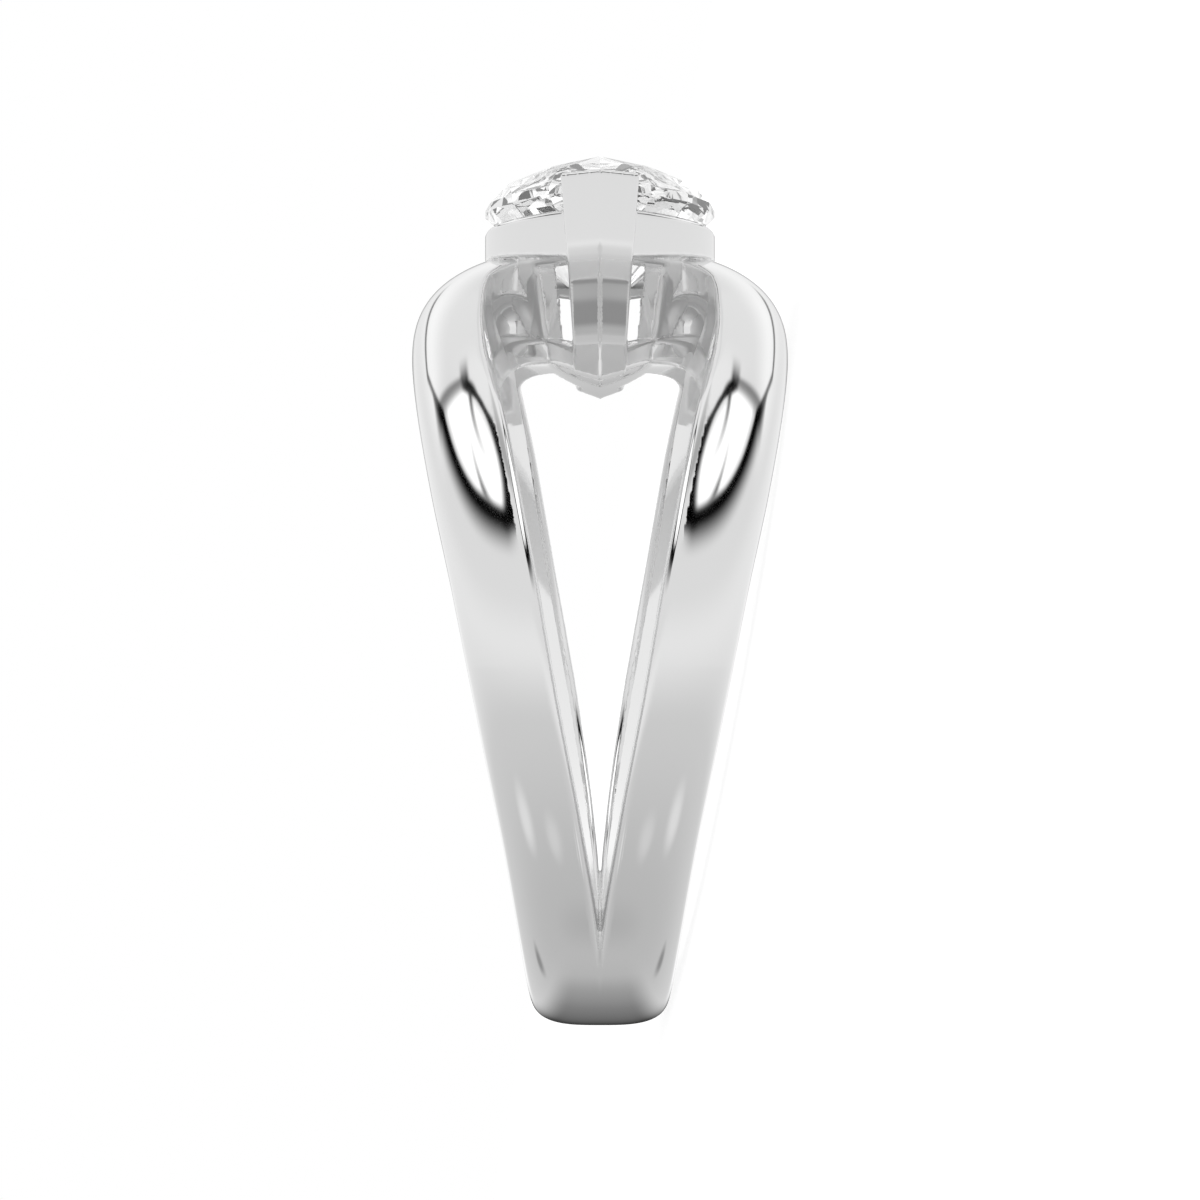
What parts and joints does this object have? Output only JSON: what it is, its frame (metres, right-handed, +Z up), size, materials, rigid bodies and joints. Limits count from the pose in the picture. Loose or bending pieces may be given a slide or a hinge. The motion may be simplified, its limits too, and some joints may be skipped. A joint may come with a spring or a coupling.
{
  "type": "solitaire ring",
  "caption": "Polished white metal ring with a marquise diamond set east west between two V-prongs, over a split shank",
  "frame": {"origin": "bottom centre of the box of the ring as it lies on its side on a table", "axes": "+X runs from the bottom of the band to the stone, +Y along the stone, +Z up from the table, 10.3 degrees off the finger's axis"},
  "size_m": [0.0248, 0.0226, 0.0107],
  "materials": {
    "metal": "mirror polished white gold",
    "diamond": "clear, polished facets"
  },
  "bodies": {
    "root": {"metal": "metal", "diamond": "diamond"}
  },
  "joints": []
}
